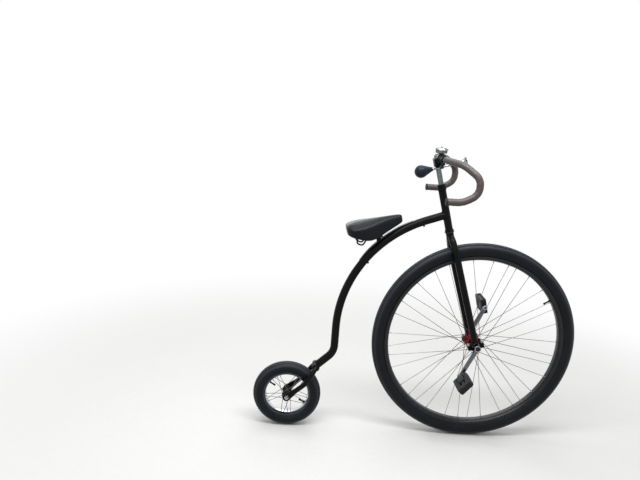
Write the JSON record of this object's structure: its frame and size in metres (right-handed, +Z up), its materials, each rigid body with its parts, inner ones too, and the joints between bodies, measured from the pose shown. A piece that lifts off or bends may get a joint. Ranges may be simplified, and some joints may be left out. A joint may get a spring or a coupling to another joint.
{
  "type": "penny farthing bicycle",
  "caption": "High-wheel bicycle: large pedalled front wheel, small trailing wheel, curved tube frame, drop handlebar with bulb horn and bell.",
  "frame": {"origin": "top of the saddle where the rider sits", "axes": "+X forward, +Y to the rider's left, +Z up"},
  "size_m": [1.4328, 0.447, 1.3153],
  "materials": {
    "tyre": "moulded rubber, light satin",
    "black_rim": "black anodised",
    "spoke_steel": "drawn stainless wire",
    "red_hub": "red anodised",
    "plain_steel": "zinc plated",
    "polished_alloy": "polished",
    "chrome": "chromed",
    "frame_paint": "black powder coat, satin",
    "black_metal": "black oxide",
    "pedal_plastic": "moulded resin",
    "valve_rubber": "moulded rubber",
    "saddle_vinyl": "black vinyl, satin",
    "base_plastic": "moulded shell",
    "bar_tape": "brown leather-look tape",
    "bulb_rubber": "black rubber"
  },
  "bodies": {
    "frame": {"head_tube": "frame_paint", "backbone": "frame_paint", "rear_fork": "frame_paint", "headset_cups": "black_metal", "saddle_bar": "frame_paint", "saddle_clamp": "black_metal", "saddle_rails": "black_metal", "saddle_base": "base_plastic", "saddle_cushion": "saddle_vinyl", "rear_axle": "plain_steel", "rear_axle_nuts": "plain_steel"},
    "steering": {"fork": "frame_paint", "bearing_holders": "black_metal", "bearing_caps": "black_metal", "holder_bolts": "plain_steel", "hub_bearings": "plain_steel", "crown_race": "plain_steel", "locknut": "black_metal", "quill": "polished_alloy", "stem_head": "black_metal", "handlebar": "polished_alloy", "bar_tape": "bar_tape", "bar_plugs": "base_plastic", "horn_bracket": "chrome", "horn_trumpet": "chrome", "horn_bulb": "bulb_rubber", "bell_base": "plain_steel", "bell_dome": "chrome"},
    "front_wheel": {"front_tyre": "tyre", "front_rim": "black_rim", "front_spokes": "spoke_steel", "front_hub": "red_hub", "front_valve": "valve_rubber", "front_spindle": "plain_steel", "crank_right": "polished_alloy", "crank_left": "polished_alloy", "crank_bolts": "plain_steel", "pedal_spindles": "plain_steel"},
    "pedal_right_body": {"pedal_right": "pedal_plastic"},
    "pedal_left_body": {"pedal_left": "pedal_plastic"},
    "rear_wheel": {"rear_tyre": "tyre", "rear_rim": "chrome", "rear_spokes": "spoke_steel", "rear_hub": "plain_steel", "rear_valve": "valve_rubber"}
  },
  "joints": [
    {"name": "steering_turn", "type": "hinge", "parent": "frame", "child": "steering", "pos_m": [0.30713, 0, 0.0545], "axis": [-0.284, 0, 0.9588], "range_deg": [-70, 70]},
    {"name": "front_wheel_spin", "type": "hinge", "parent": "steering", "child": "front_wheel", "pos_m": [0.5, 0, -0.535], "axis": [0, 1, 0], "continuous": true},
    {"name": "pedal_right_spin", "type": "hinge", "parent": "front_wheel", "child": "pedal_right_body", "pos_m": [0.43899, 0, -0.67203], "axis": [0, 1, 0], "continuous": true},
    {"name": "pedal_left_spin", "type": "hinge", "parent": "front_wheel", "child": "pedal_left_body", "pos_m": [0.56101, 0, -0.39797], "axis": [0, 1, 0], "continuous": true},
    {"name": "rear_wheel_spin", "type": "hinge", "parent": "frame", "child": "rear_wheel", "pos_m": [-0.322, 0, -0.838], "axis": [0, 1, 0], "continuous": true}
  ]
}
